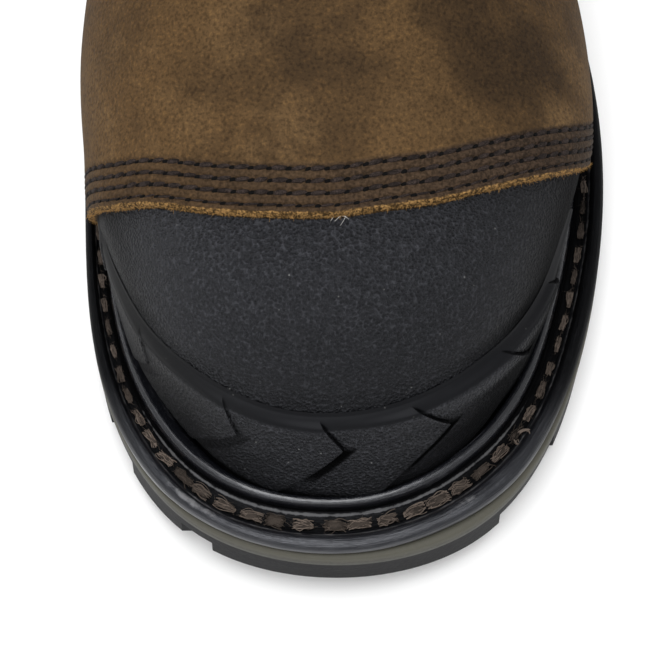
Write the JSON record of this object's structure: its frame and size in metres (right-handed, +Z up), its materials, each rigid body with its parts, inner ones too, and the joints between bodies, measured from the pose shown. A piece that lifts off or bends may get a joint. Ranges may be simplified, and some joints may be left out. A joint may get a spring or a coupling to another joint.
{
  "type": "work boot",
  "caption": "Pull-on composite toe work boot: hollow brown leather upper, black moulded toe cap, storm welt, olive midsole, lugged outsole and heel.",
  "frame": {"origin": "middle of the boot's length and width, on the floor under the sole", "axes": "+Y from the toe back to the heel, +X to the inner side of the right foot, +Z up the shaft"},
  "size_m": [0.1188, 0.315, 0.2842],
  "materials": {
    "upper": "worn oiled nubuck, matt",
    "toe_cap": "satin, fine grain",
    "welt": "half gloss",
    "midsole": "matt",
    "outsole": "matt",
    "heel": "matt",
    "insole": "matt board with cloth cover"
  },
  "bodies": {
    "root": {"upper": "upper", "toe_cap": "toe_cap", "welt": "welt", "midsole": "midsole", "outsole": "outsole", "heel": "heel", "insole": "insole"}
  },
  "joints": []
}
